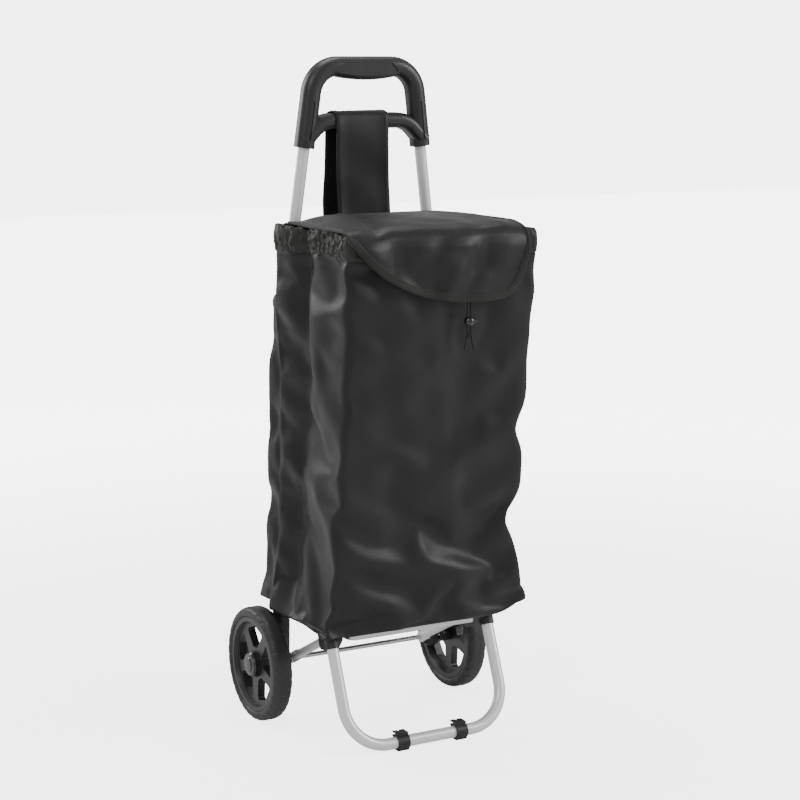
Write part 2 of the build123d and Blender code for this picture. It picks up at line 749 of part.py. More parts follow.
# Ball cord lock with a push button; its two holes run on the strands.
LOCK_Z = 574.0
with BuildPart() as cord_lock:
    with BuildSketch(Plane(origin=(CORD_X, CORD_Y, LOCK_Z), x_dir=(1, 0, 0), z_dir=(0, -1, 0))):
        with BuildLine():
            Line((0, -5.3), (4.57, -5.3))
            ThreePointArc((4.57, -5.3), (7.0, 0), (4.57, 5.3))
            Line((4.57, 5.3), (0, 5.3))
            Line((0, 5.3), (0, -5.3))
        make_face()
    revolve(axis=Axis((CORD_X, CORD_Y, LOCK_Z), (0, 0, 1)))
    with BuildSketch(Plane.XY.offset(LOCK_Z - 8)):
        with Locations((CORD_X - CORD_HALF, CORD_Y), (CORD_X + CORD_HALF, CORD_Y)):
            Circle(CORD_R + 0.35)
    extrude(amount=16, mode=Mode.SUBTRACT)
    with BuildSketch(Plane.YZ.offset(CORD_X + 4.9)):
        with Locations((CORD_Y, LOCK_Z)):
            Circle(3.3)
    extrude(amount=6, mode=Mode.SUBTRACT)
save(cord_lock.part, "cord_lock")

with BuildPart() as lock_button:
    with BuildSketch(Plane.YZ.offset(CORD_X + 6.5)):
        with Locations((CORD_Y, LOCK_Z)):
            Circle(3.0)
    extrude(amount=3.0)
    fillet(lock_button.faces().sort_by(Axis.X)[-1].edges(), 0.8)
save(lock_button.part, "lock_button")
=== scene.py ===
"""Folding shopping trolley: the looks. Frame, joints and sizes come from the CAD."""

import json
import math

import bpy
import numpy as np
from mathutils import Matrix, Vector


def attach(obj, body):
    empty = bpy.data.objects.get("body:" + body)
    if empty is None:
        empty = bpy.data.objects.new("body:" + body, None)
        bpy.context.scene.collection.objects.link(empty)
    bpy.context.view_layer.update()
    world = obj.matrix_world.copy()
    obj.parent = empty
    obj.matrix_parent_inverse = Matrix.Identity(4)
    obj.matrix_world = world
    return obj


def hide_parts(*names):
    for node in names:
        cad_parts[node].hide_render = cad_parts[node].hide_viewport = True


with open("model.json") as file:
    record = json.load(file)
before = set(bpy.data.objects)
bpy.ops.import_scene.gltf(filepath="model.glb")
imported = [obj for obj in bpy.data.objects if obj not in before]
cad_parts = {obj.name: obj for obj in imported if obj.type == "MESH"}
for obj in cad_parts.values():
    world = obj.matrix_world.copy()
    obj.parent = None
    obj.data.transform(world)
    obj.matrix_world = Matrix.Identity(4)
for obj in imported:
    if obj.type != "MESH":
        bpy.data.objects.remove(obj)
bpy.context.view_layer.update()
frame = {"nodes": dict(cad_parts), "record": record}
nodes = frame["nodes"]

# Sizes in metres, row frame: X right, -Y front, Z up, floor at Z 0.
AXLE_Y = 0.0784
BAG_Z0 = 0.1602
BAG_Z1 = 0.690
BAG_TALL = 0.53
LEAN = 0.0305


def frame_y(z):
    """Y of the frame tubes' axis at height z."""
    return AXLE_Y - (z - 0.137) * LEAN


def front_y(z):
    """Y of the bag's front wall at height z."""
    return AXLE_Y - 0.168 - 0.056 * (z - BAG_Z0) / (BAG_Z1 - BAG_Z0)


def back_y(z):
    """Y of the bag's back wall at height z."""
    return AXLE_Y - 0.016 - 0.022 * (z - BAG_Z0) / (BAG_Z1 - BAG_Z0)


def panel_y(z):
    """Y of the rear pocket panel at height z."""
    return AXLE_Y + 0.018 - 0.021 * (z - 0.172) / 0.428


# Materials


def material(name):
    """An empty node material and its shader."""
    m = bpy.data.materials.new(name)
    m.use_nodes = True
    tree = m.node_tree
    return m, tree, tree.nodes["Principled BSDF"]


def add(tree, kind, **values):
    """A node with some of its properties set."""
    node = tree.nodes.new(kind)
    for key, value in values.items():
        setattr(node, key, value)
    return node


def noise(tree, scale, detail=4.0, rough=0.55, stretch=None):
    """Noise in object space, stretched along the axes if asked."""
    coords = add(tree, "ShaderNodeTexCoord")
    node = add(tree, "ShaderNodeTexNoise")
    node.inputs["Scale"].default_value = scale
    node.inputs["Detail"].default_value = detail
    node.inputs["Roughness"].default_value = rough
    if stretch:
        mapping = add(tree, "ShaderNodeMapping")
        mapping.inputs["Scale"].default_value = stretch
        tree.links.new(coords.outputs["Object"], mapping.inputs["Vector"])
        tree.links.new(mapping.outputs["Vector"], node.inputs["Vector"])
    else:
        tree.links.new(coords.outputs["Object"], node.inputs["Vector"])
    return node


def ramp(tree, source, low, high, at=(0.3, 0.7)):
    """A two-stop colour ramp driven by source."""
    node = add(tree, "ShaderNodeValToRGB")
    for stop, place, value in zip(node.color_ramp.elements, at, (low, high)):
        stop.position = place
        stop.color = (*value, 1)
    tree.links.new(source, node.inputs["Fac"])
    return node


def bump(tree, shader, heights):
    """Chained bumps: each (socket, strength, distance)."""
    last = None
    for socket, strength, distance in heights:
        node = add(tree, "ShaderNodeBump")
        node.inputs["Strength"].default_value = strength
        node.inputs["Distance"].default_value = distance
        tree.links.new(socket, node.inputs["Height"])
        if last:
            tree.links.new(last.outputs["Normal"], node.inputs["Normal"])
        last = node
    tree.links.new(last.outputs["Normal"], shader.inputs["Normal"])


def weave(tree, pitch):
    """Plain weave height: two crossed sets of threads."""
    coords = add(tree, "ShaderNodeTexCoord")
    waves = []
    for axis in ("X", "Z"):
        wave = add(tree, "ShaderNodeTexWave", wave_type="BANDS", bands_direction=axis)
        wave.inputs["Scale"].default_value = 1.0 / pitch / 6.2832 * 2
        wave.inputs["Distortion"].default_value = 0.6
        wave.inputs["Detail Scale"].default_value = 40
        tree.links.new(coords.outputs["Object"], wave.inputs["Vector"])
        waves.append(wave)
    both = add(tree, "ShaderNodeMath", operation="MAXIMUM")
    for i, wave in enumerate(waves):
        tree.links.new(wave.outputs["Fac"], both.inputs[i])
    return both.outputs[0]


def fabric(name, dark, light, rough, sheen, pitch=0.0011, weave_depth=0.00008):
    """Woven nylon: thread relief, slight colour and gloss variation."""
    m, tree, shader = material(name)
    wide = noise(tree, 7, 3)
    colour = ramp(tree, wide.outputs["Fac"], dark, light)
    tree.links.new(colour.outputs["Color"], shader.inputs["Base Color"])
    gloss = ramp(tree, noise(tree, 22, 3).outputs["Fac"], (rough - 0.05,) * 3, (rough + 0.07,) * 3)
    tree.links.new(gloss.outputs["Color"], shader.inputs["Roughness"])
    shader.inputs["Sheen Weight"].default_value = sheen
    shader.inputs["Sheen Roughness"].default_value = 0.4
    shader.inputs["Specular IOR Level"].default_value = 0.34
    creases = noise(tree, 38, 5, 0.6)
    bump(tree, shader, [
        (noise(tree, 8, 2, 0.4, (1, 1, 0.55)).outputs["Fac"], 0.5, 0.010),
        (creases.outputs["Fac"], 0.25, 0.0012),
        (weave(tree, pitch), 0.35, weave_depth),
    ])
    return m


def plastic(name, dark, light, rough, coat=0.0, grain=0.25, scale=900):
    """Moulded plastic with a fine spark-eroded grain and faint scuffs."""
    m, tree, shader = material(name)
    colour = ramp(tree, noise(tree, 14, 4).outputs["Fac"], dark, light)
    tree.links.new(colour.outputs["Color"], shader.inputs["Base Color"])
    scuffs = noise(tree, 60, 6, 0.7, (1, 1, 0.25))
    gloss = ramp(tree, scuffs.outputs["Fac"], (rough - 0.06,) * 3, (rough + 0.1,) * 3, (0.35, 0.75))
    tree.links.new(gloss.outputs["Color"], shader.inputs["Roughness"])
    shader.inputs["Coat Weight"].default_value = coat
    shader.inputs["Coat Roughness"].default_value = 0.25
    bump(tree, shader, [(noise(tree, scale, 2).outputs["Fac"], grain, 0.00012)])
    return m


def metal(name, dark, light, rough, metallic=0.9, stretch=(30, 30, 1.5)):
    """Silver coated or bright metal with drawn streaks and light handling marks."""
    m, tree, shader = material(name)
    shader.inputs["Metallic"].default_value = metallic
    streaks = noise(tree, 40, 5, 0.6, stretch)
    colour = ramp(tree, streaks.outputs["Fac"], dark, light, (0.25, 0.75))
    tree.links.new(colour.outputs["Color"], shader.inputs["Base Color"])
    marks = noise(tree, 35, 6, 0.65)
    gloss = ramp(tree, marks.outputs["Fac"], (rough - 0.05,) * 3, (rough + 0.12,) * 3, (0.35, 0.8))
    tree.links.new(gloss.outputs["Color"], shader.inputs["Roughness"])
    bump(tree, shader, [(streaks.outputs["Fac"], 0.12, 0.0001)])
    return m


NYLON = fabric("bag_nylon", (0.0110, 0.0110, 0.0107), (0.0150, 0.0149, 0.0143), 0.43, 0.05)
HEM = fabric("hem_nylon", (0.015, 0.015, 0.0135), (0.026, 0.026, 0.0235), 0.48, 0.12)
STRAP = fabric("strap_nylon", (0.013, 0.013, 0.0135), (0.018, 0.018, 0.0185), 0.5, 0.06)
TAPE = fabric("binding_tape", (0.011, 0.011, 0.010), (0.030, 0.030, 0.027), 0.7, 0.15,
              0.0016, 0.0004)
CORD = fabric("cord_black", (0.008, 0.008, 0.008), (0.016, 0.016, 0.016), 0.6, 0.1, 0.0009, 0.0003)
THREAD = fabric("thread_black", (0.016, 0.016, 0.016), (0.030, 0.030, 0.030), 0.55, 0.1,
                0.0005, 0.0001)
HANDLE = plastic("handle_plastic", (0.012, 0.012, 0.013), (0.019, 0.019, 0.020), 0.42, 0.1)
BRACKET = plastic("bracket_plastic", (0.016, 0.016, 0.017), (0.026, 0.026, 0.027), 0.46)
RIM = plastic("rim_plastic", (0.014, 0.014, 0.014), (0.022, 0.022, 0.022), 0.38, 0.15)
CAP = plastic("cap_plastic", (0.012, 0.012, 0.012), (0.018, 0.018, 0.018), 0.25, 0.4, 0.1)
TYRE = plastic("tyre_rubber", (0.018, 0.018, 0.0175), (0.030, 0.030, 0.029), 0.5, 0.1, 0.5, 500)
LOCK = plastic("lock_plastic", (0.008, 0.008, 0.008), (0.012, 0.012, 0.012), 0.15, 0.6, 0.0)
SILVER = metal("silver_tube", (0.86, 0.87, 0.87), (0.93, 0.93, 0.93), 0.36, 0.35)
BAR = metal("silver_bar", (0.6, 0.6, 0.6), (0.7, 0.7, 0.7), 0.3, 0.85, (1.5, 30, 30))
STEEL = metal("bright_steel", (0.62, 0.62, 0.62), (0.74, 0.74, 0.74), 0.22, 1.0)

SLOTS = {
    "bag_nylon": NYLON, "hem_nylon": HEM, "strap_nylon": STRAP, "binding_tape": TAPE,
    "hook_loop": TAPE, "cord_black": CORD, "handle_plastic": HANDLE,
    "bracket_plastic": BRACKET, "rim_plastic": RIM, "cap_plastic": CAP,
    "tyre_rubber": TYRE, "lock_plastic": LOCK, "silver_tube": SILVER,
    "silver_bar": BAR, "bright_steel": STEEL, "board_plastic": BRACKET,
    "zip_black": BRACKET,
}

# Every CAD piece gets its slot's material.
for row in frame["record"]["subparts"]:
    shown = nodes[row["node"]]
    shown.data.materials.clear()
    shown.data.materials.append(SLOTS[row["material_slot"]])


# Mesh helpers


def make(name, points, faces, stuff, body):
    """A smooth mesh object, on a CAD body if one is named, with its material."""
    mesh = bpy.data.meshes.new(name)
    mesh.from_pydata([tuple(p) for p in points], [], [tuple(f) for f in faces])
    mesh.validate()
    mesh.materials.append(stuff)
    mesh.shade_smooth()
    obj = bpy.data.objects.new(name, mesh)
    bpy.context.scene.collection.objects.link(obj)
    if body:
        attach(obj, body)
    return obj


def grid_faces(rows, columns, wrap_rows=False, wrap_columns=False, start=0):
    """Quads of a grid stored row by row."""
    faces = []
    for i in range(rows if wrap_rows else rows - 1):
        for j in range(columns if wrap_columns else columns - 1):
            a, b = i, (i + 1) % rows
            c, d = j, (j + 1) % columns
            faces.append((
                start + a * columns + c, start + a * columns + d,
                start + b * columns + d, start + b * columns + c,
            ))
    return faces


def hills(p, scale, seed, octaves=3):
    """Smooth pseudo-random heights at points p, roughly -1 to 1."""
    r = np.random.default_rng(seed)
    total = np.zeros(len(p))
    for k in range(octaves):
        for _ in range(5):
            way = r.normal(size=3)
            way *= 2 ** k / scale / np.linalg.norm(way)
            total += np.sin(p @ way * 6.2832 + r.uniform(0, 6.2832)) / (1.7 ** k * 5)
    return total * 1.6


def run_along(line):
    """How far along the polyline each of its points lies."""
    return np.concatenate([[0], np.cumsum(np.linalg.norm(np.diff(line, axis=0), axis=1))])


def unit(vectors):
    """The vectors at length 1."""
    return vectors / np.linalg.norm(vectors, axis=1)[:, None]


def apply_modifiers(obj):
    """Replaces obj's mesh with what its modifiers show."""
    graph = bpy.context.evaluated_depsgraph_get()
    mesh = bpy.data.meshes.new_from_object(obj.evaluated_get(graph))
    obj.modifiers.clear()
    obj.data = mesh


def coordinates(mesh):
    """The mesh's vertices as an array."""
    co = np.zeros(len(mesh.vertices) * 3, np.float32)
    mesh.vertices.foreach_get("co", co)
    return co.reshape(-1, 3).astype(float)


def simulate(obj, pins, frames, slack, stiff, bend, pressure, gravity):
    """Cloth run on obj; pins gives each point's hold from 0 to 1."""
    group = obj.vertex_groups.new(name="pins")
    for index in np.flatnonzero(pins > 0):
        group.add([int(index)], float(pins[index]), "REPLACE")
    cloth = obj.modifiers.new("Cloth", "CLOTH")
    s = cloth.settings
    s.quality = 6
    s.mass = 0.15
    s.air_damping = 4
    s.tension_stiffness = stiff
    s.compression_stiffness = stiff * 0.8
    s.shear_stiffness = stiff * 0.4
    s.bending_stiffness = bend
    s.tension_damping = 8
    s.compression_damping = 8
    s.vertex_group_mass = "pins"
    s.pin_stiffness = 1.0
    s.shrink_min = -slack
    s.effector_weights.gravity = gravity
    s.use_pressure = pressure != 0
    s.uniform_pressure_force = pressure
    cloth.collision_settings.use_self_collision = False
    cloth.collision_settings.use_collision = False
    cloth.point_cache.frame_start = 1
    cloth.point_cache.frame_end = frames
    scene = bpy.context.scene
    for f in range(1, frames + 1):
        scene.frame_set(f)
    graph = bpy.context.evaluated_depsgraph_get()
    result = bpy.data.meshes.new_from_object(obj.evaluated_get(graph))
    moved = coordinates(result)
    obj.modifiers.clear()
    obj.vertex_groups.clear()
    scene.frame_set(1)
    return moved


def make_cloth(obj, thickness, offset):
    """Refines obj's mesh once and gives it its cloth's thickness."""
    fine = obj.modifiers.new("fine", "SUBSURF")
    fine.levels = fine.render_levels = 1
    thick = obj.modifiers.new("thick", "SOLIDIFY")
    thick.thickness = thickness
    thick.offset = offset
    apply_modifiers(obj)
    obj.data.shade_smooth()


def limited(rest, moved, cap):
    """moved, with each point no further than cap from where it started."""
    step = moved - rest
    far = np.linalg.norm(step, axis=1)
    cap = np.broadcast_to(cap, far.shape)
    keep = np.where(far > 1e-9, cap * np.tanh(far / np.maximum(cap, 1e-9)) / np.maximum(far, 1e-9), 1)
    return rest + step * keep[:, None]


# Bag: walls, bottom and rear pocket panel, cut with slack and let buckle.


def right_x(z, rear):
    """The right side's X at height z, at its front (rear 0) or rear (rear 1) edge."""
    flare = math.exp(-((z - BAG_Z0) / 0.055) ** 1.2)
    pinch = 0.010 * math.exp(-((z - 0.425) / 0.022) ** 2)
    pinch += 0.010 * math.exp(-((z - 0.285) / 0.03) ** 2)
    front = 0.150 + 0.0295 * flare - pinch + 0.002 * (z - BAG_Z0) / BAG_TALL
    return front * (1 - rear) + (0.138 + 0.010 * flare) * rear


def left_x(z, rear):
    """The left side's X at height z, at its front (rear 0) or rear (rear 1) edge."""
    flare = math.exp(-((z - BAG_Z0) / 0.06) ** 1.2)
    t = (z - BAG_Z0) / BAG_TALL
    front = -0.1225 - 0.0155 * flare - 0.006 * max(0, t - 0.75) / 0.25
    return front * (1 - rear) + (-0.1335 - 0.0175 * flare) * rear


def rounded(line, radius):
    """The polyline with its corners rounded by averaging; points nearer its ends than radius stay."""
    out = np.array(line)
    along = run_along(out)
    smooth = out.copy()
    for i in range(1, len(out) - 1):
        near = np.abs(along - along[i]) < radius
        near[0] = near[-1] = False
        if abs(along[i] - along[0]) > radius and abs(along[-1] - along[i]) > radius:
            smooth[i] = out[near].mean(0)
    return smooth


def skin_row(z, nside, nfront):
    """Outer wall at height z: right seam, round the front, to the left seam."""
    back, front = back_y(z), front_y(z)
    crease = AXLE_Y - 0.052 - 0.053 * (z - BAG_Z0) / BAG_TALL
    fold = (0.017 + 0.005 * math.sin(14 * z)) * min(1, (z - BAG_Z0) / 0.05)
    share = (back - front) / (panel_y(min(z, 0.6)) - front)
    wider = min(max((z - 0.50) / 0.08, 0), 1)
    line = []
    for i in range(nside):
        u = i / nside
        y = back + (front - back) * u
        rear = share * (1 - u)
        x = right_x(z, rear) - fold * math.exp(-(abs(y - crease) / 0.016) ** 1.3)
        line.append((x, y, z))
    for i in range(nfront):
        u = i / nfront
        x = right_x(z, 0) + (left_x(z, 0) - right_x(z, 0)) * u
        line.append((x, front, z))
    for i in range(nside + 1):
        u = i / nside
        y = front + (back - front) * u
        rear = share * u
        x = left_x(z, rear) + fold * math.exp(-(abs(y - crease) / 0.016) ** 1.3)
        x -= 0.009 * wider * u * u
        line.append((x, y, z))
    return rounded(line, 0.010)


def panel_row(z, nwing, nrear, ends):
    """Rear pocket panel at height z, between the two seams, without the seam points."""
    rear = panel_y(z)
    near_top = min(max((z - 0.50) / 0.10, 0), 1) ** 2
    right, left = right_x(z, 1) - 0.004 * near_top, left_x(z, 1) + 0.0075 * near_top
    corners = [ends[0], (right, rear, z), (left, rear, z), ends[1]]
    line = []
    for k, n in enumerate((nwing, nrear, nwing)):
        for i in range(n):
            u = i / n
            line.append(tuple(a + (c - a) * u for a, c in zip(corners[k], corners[k + 1])))
    line.append(corners[3])
    line = rounded(line, 0.009)[1:-1]
    dip = np.clip((z - 0.44) / 0.15, 0, 1) ** 2
    line[:, 2] -= 0.016 * dip * np.clip(1 - (line[:, 0] / 0.135) ** 2, 0, 1)
    return line


def strip(lower, upper):
    """Quads between two rows of point numbers of the same length."""
    return [(lower[j + 1], lower[j], upper[j], upper[j + 1]) for j in range(len(lower) - 1)]


# Grid steps: sides, front, the panel's wings and rear, the back wall behind it, and up the bag.
NSIDE, NFRONT, NWING, NREAR, NBACK, NUP = 25, 42, 5, 40, 40, 81
PANEL_Z0, PANEL_Z1 = 0.171, 0.604
BOTTOM_INSET = 0.0045
HANG = 0.0098
levels = np.linspace(BAG_Z0 + 0.0005, BAG_Z1 + 0.0005, NUP)
skin = np.array([skin_row(z, NSIDE, NFRONT) for z in levels])
columns = skin.shape[1]
points = list(skin.reshape(-1, 3))
faces = grid_faces(len(levels), columns)
hold = np.zeros(len(points))
hold[:columns] = 1
hold[columns * (len(levels) - 5):] = 1
for i in range(len(levels)):
    hold[[i * columns, i * columns + columns - 1]] = 1
hold = list(hold)
panel_rows = [i for i, z in enumerate(levels) if PANEL_Z0 < z < PANEL_Z1]
across = NWING * 2 + NREAR - 1
base = len(points)
for i in panel_rows:
    row = panel_row(levels[i], NWING, NREAR, (skin[i][0], skin[i][-1]))
    points += list(row)
    edge = 1.0 if i in (panel_rows[0], panel_rows[-1]) else 0.0
    hold += [max(edge, 0.35 if abs(p[0]) < 0.05 else 0.02) for p in row]
for k, i in enumerate(panel_rows[:-1]):
    row, above = ([(i + n) * columns, *range(base + (k + n) * across, base + (k + n + 1) * across),
                   (i + n + 1) * columns - 1] for n in (0, 1))
    faces += strip(row, above)
wall = len(points)
for i, z in enumerate(levels):
    for j in range(1, NBACK):
        u = j / NBACK
        p = skin[i][0] * (1 - u) + skin[i][-1] * u
        p[1] += 0.0035 * math.sin(math.pi * u) * math.sin(7 * u + 9 * z)
        points.append(p)
        hold.append(1.0)
for i in range(len(levels) - 1):
    row, above = ([n * columns, *range(wall + n * (NBACK - 1), wall + (n + 1) * (NBACK - 1)),
                   (n + 1) * columns - 1] for n in (i, i + 1))
    faces += strip(row, above)

# The bottom: a narrow ring inside the lower edge and one face.
rim_loop = [*range(columns), *range(wall + NBACK - 2, wall - 1, -1)]
middle = np.mean([points[i] for i in rim_loop], axis=0)
inset = len(points)
for i in rim_loop:
    way = middle - points[i]
    points.append(points[i] + way * (BOTTOM_INSET / np.linalg.norm(way[:2])))
    hold.append(1.0)
count = len(rim_loop)
faces += [(rim_loop[(i + 1) % count], rim_loop[i], inset + i, inset + (i + 1) % count)
          for i in range(count)]
faces.append(tuple(range(inset + count - 1, inset - 1, -1)))
rest = np.array(points)
hold = np.array(hold)

# The front's lower edge hangs below the board, but is lifted at the right corner.
near_front = np.clip((AXLE_Y - 0.112 - rest[:, 1]) / 0.05, 0, 1)
hang = near_front * np.exp(-((rest[:, 2] - BAG_Z0) / 0.05))
hang[inset:] = 0
corner = np.clip((rest[:, 0] - 0.12) / 0.045, 0, 1) ** 2
rest[:, 2] -= HANG * hang * (1 - 1.8 * corner)
rest[:, 1] -= 0.0022 * hang

# A first ripple for the slack cloth to buckle from.
free = (hold < 0.5)[:, None]
start = rest + free * np.stack([
    0.0030 * hills(rest * (1, 1, 1.0), 0.10, 3, 2),
    0.0040 * hills(rest + rest[:, [2, 0, 1]] * 0.6, 0.12, 5, 2),
    np.zeros(len(rest)),
], axis=1)
bag = make("bag_body", start, faces, NYLON, "frame")
FRAMES = 36
moved = simulate(bag, hold, FRAMES, slack=0.020, stiff=14, bend=2.6, pressure=0.12, gravity=0.06)
WALL_REACH, PANEL_REACH = 0.022, 0.0045
cap = np.where(hold >= 1, 0.0, WALL_REACH)
cap[base:wall] = np.minimum(cap[base:wall], PANEL_REACH)
moved = limited(rest, moved, cap)

# The front stays behind the cord and its lock.
limit = AXLE_Y - 0.2255
inside = np.clip((moved[:, 2] - 0.50) / 0.04, 0, 1) * (rest[:, 1] < AXLE_Y - 0.15)
SOFT = 0.0012
eased = SOFT * np.log1p(np.exp(np.clip((limit - moved[:, 1]) / SOFT, -30, 30)))
moved[:, 1] += inside * eased
for v, p in zip(bag.data.vertices, moved):
    v.co = p
make_cloth(bag, 0.0007, -1)
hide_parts("bag_shell", "back_panel")

# Hem: a gathered band round the mouth, puffed between its stitches.
HEM_STEPS, HEM_STEP = 900, 0.00106
HEM_MID_Z, HEM_HALF = 0.6755, 0.0158
HEM_TOP = 0.6942
AROUND = 26
ring = np.vstack([skin[-1], [skin[-1][-1] * (1 - j / NBACK) + skin[-1][0] * (j / NBACK)
                             for j in range(1, NBACK)]])
mouth = []
for i in range(HEM_STEPS):
    u = i / HEM_STEPS * len(ring)
    k = int(u) % len(ring)
    w = u - int(u)
    mouth.append(ring[k] * (1 - w) + ring[(k + 1) % len(ring)] * w)
mouth = np.array(mouth)
ahead = np.roll(mouth, -3, axis=0) - np.roll(mouth, 3, axis=0)
out = unit(np.stack([-ahead[:, 1], ahead[:, 0], 0 * ahead[:, 0]], axis=1))
if (out * (mouth - mouth.mean(0))).sum() < 0:
    out = -out

# How near each place is to the front, to the rear and to the lid's seam, and how loose it is.
along = np.arange(HEM_STEPS) * HEM_STEP
front_part = np.clip((AXLE_Y - 0.17 - mouth[:, 1]) / 0.05, 0, 1)
rear_part = np.clip((mouth[:, 1] - (AXLE_Y - 0.07)) / 0.03, 0, 1)
at_seam = np.clip((mouth[:, 1] - (AXLE_Y - 0.0385)) / 0.002, 0, 1)
loose = 1 - np.maximum(front_part * 0.6, rear_part * 0.5)

# Crossed sharp waves of falling pitch make the gathers.
crumple = np.random.default_rng(21)
waves = []
for k in range(9):
    pitch = 0.019 * 0.86 ** k
    waves.append((6.2832 / pitch / 2, crumple.uniform(-2.4, 2.4), crumple.uniform(0, 6.28),
                  crumple.uniform(0, 6.28), 0.92 ** k))
hem_points = []
for j in range(AROUND):
    a = j / AROUND * 2 * math.pi
    up, side = math.sin(a), math.cos(a)
    fold = 0
    for rate, slant, phase, drift, size in waves:
        bend = 2.0 * np.sin(along * rate * 0.23 + drift + 2.4 * up)
        size = size * (0.85 + 0.25 * np.sin(along * 23 + 3 * drift + up))
        fold = fold + size * (1 - 2 * abs(np.sin(along * rate + slant * 2.5 * up + phase + bend)))
    fold = fold / 3.2
    slow = np.sin(along * 26 + 0.6) * 0.5 + np.sin(along * 57 + 2.0) * 0.5
    z = HEM_MID_Z - 0.0025 * (1 - loose) + up * (HEM_HALF + 0.0026 * fold * loose)
    z = z + 0.0024 * loose * slow + 0.0045 * (1 - front_part) * max(up, 0)
    puff = 0.0030 + 0.0022 * loose * (0.5 + 0.5 * np.sin(along * 41 + 1))
    reach = side * puff + 0.0032 * fold * loose * (0.35 + 0.65 * abs(side)) + 0.0010 * loose
    reach = np.clip(reach, -0.009, 0.0085)
    reach = reach + 0.0020 * at_seam * max(up, 0)
    p = mouth + out * reach[:, None]
    p[:, 2] = np.minimum(z + 0.004 * at_seam * max(up, 0),
                         HEM_TOP - 0.003 * front_part + 0.0046 * at_seam)
    hem_points.append(p)
hem_points = np.array(hem_points).reshape(-1, 3)
hem = make("bag_hem_gathered", hem_points, grid_faces(AROUND, HEM_STEPS, True, True), HEM,
           "frame")
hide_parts("bag_hem")

# Lid: one cloth, sewn at the back, draped over the mouth and down the front.
HINGE_Y = AXLE_Y - 0.040
APRON_Y = AXLE_Y - 0.2326
LID_HALF = 0.133
APRON_Z, APRON_RISE = 0.6005, 0.0905
LOWEST_X, LEFT_SPAN, RIGHT_SPAN = 0.060, 0.193, 0.0765


def apron_low(x):
    """Height of the apron's lower edge at x."""
    if x < LOWEST_X:
        t, power = (LOWEST_X - x) / LEFT_SPAN, 2.3
    else:
        t, power = (x - LOWEST_X) / RIGHT_SPAN, 4.5
    return APRON_Z + APRON_RISE * (1 - (1 - min(t, 1.0) ** power) ** 0.72)


def lid_profile(u, low):
    """Point (y, z) of the lid at u from 0, its hinge line, to 1, its free edge at low."""
    route = np.array([
        (HINGE_Y + 0.001, 0.6970), (HINGE_Y - 0.012, 0.7025), (HINGE_Y - 0.030, 0.7048),
        (HINGE_Y - 0.055, 0.7056), (HINGE_Y - 0.110, 0.7048), (HINGE_Y - 0.150, 0.7012),
        (HINGE_Y - 0.172, 0.6974), (APRON_Y + 0.0085, 0.6925), (APRON_Y + 0.0022, 0.6845),
        (APRON_Y - 0.0004, 0.6740), (APRON_Y - 0.0008, 0.6600),
    ])
    run = run_along(route)
    s = u * (run[-1] + route[-1][1] - low)
    return np.interp(s, run, route[:, 0]), np.interp(s, run, route[:, 1]) - max(0, s - run[-1])


def ditch(x, y, start, end, wide):
    """How near (x, y) is to the segment from start to end, 0 to 1."""
    way = np.array(end) - start
    t = np.clip(((x - start[0]) * way[0] + (y - start[1]) * way[1]) / (way @ way), 0, 1)
    gap = np.hypot(x - start[0] - t * way[0], y - start[1] - t * way[1])
    return np.exp(-(gap / wide) ** 2) * np.clip(4 * t, 0, 1)


# Creases: height, start, end and width, on the top in X and Y and on the apron in X and Z.
TOP_CREASES = [
    (-0.0042, (-0.045, HINGE_Y - 0.030), (-0.092, APRON_Y + 0.012), 0.011),
    (0.0028, (-0.070, HINGE_Y - 0.028), (-0.112, APRON_Y + 0.020), 0.010),
    (-0.0034, (0.088, HINGE_Y - 0.060), (0.060, APRON_Y + 0.004), 0.014),
    (0.0022, (0.112, HINGE_Y - 0.050), (0.100, APRON_Y + 0.004), 0.010),
]
APRON_CREASES = [
    (-0.0022, (0.075, 0.694), (0.028, 0.612), 0.013),
    (0.0020, (0.052, 0.692), (0.008, 0.608), 0.015),
    (-0.0018, (-0.095, 0.690), (-0.020, 0.612), 0.012),
]
ROWS, COLS = 72, 65
lid_points = []
for i in range(ROWS):
    for j in range(COLS):
        x = -LID_HALF + 2 * LID_HALF * j / (COLS - 1)
        y, z = lid_profile(i / (ROWS - 1), apron_low(x))
        lid_points.append((x, y, z))
drape = np.array(lid_points)
x, y, z = drape.T
depth = np.clip((HINGE_Y - y) / 0.03, 0, 1)
top = np.clip((z - 0.680) / 0.016, 0, 1) * depth
apron = np.clip((0.694 - z) / 0.02, 0, 1)

# The top domes, less so where it meets the strap when the lid is open.
dome = 0.0016 + 0.0019 * np.clip((HINGE_Y - y - 0.06) / 0.04, 0, 1)
lift = dome * np.cos(x / LID_HALF * 1.45)
for rise, start, end, wide in TOP_CREASES:
    lift = lift + rise * ditch(x, y, start, end, wide)
lift = lift + 0.0007 * hills(drape, 0.09, 12, 2)
drape[:, 2] += lift * top

# The side edges droop to the hem, and the rear left corner is drawn in.
droop = np.clip((abs(x) - 0.085) / 0.048, 0, 1)
droop = droop * droop * (3 - 2 * droop)
drape[:, 2] -= droop * np.maximum(drape[:, 2] - np.where(x < 0, 0.6955, 0.6996), 0)
rear = np.clip(1 - (HINGE_Y - y) / 0.09, 0, 1)
drape[:, 0] += 0.008 * np.clip(-x / LID_HALF, 0, 1) ** 2 * rear

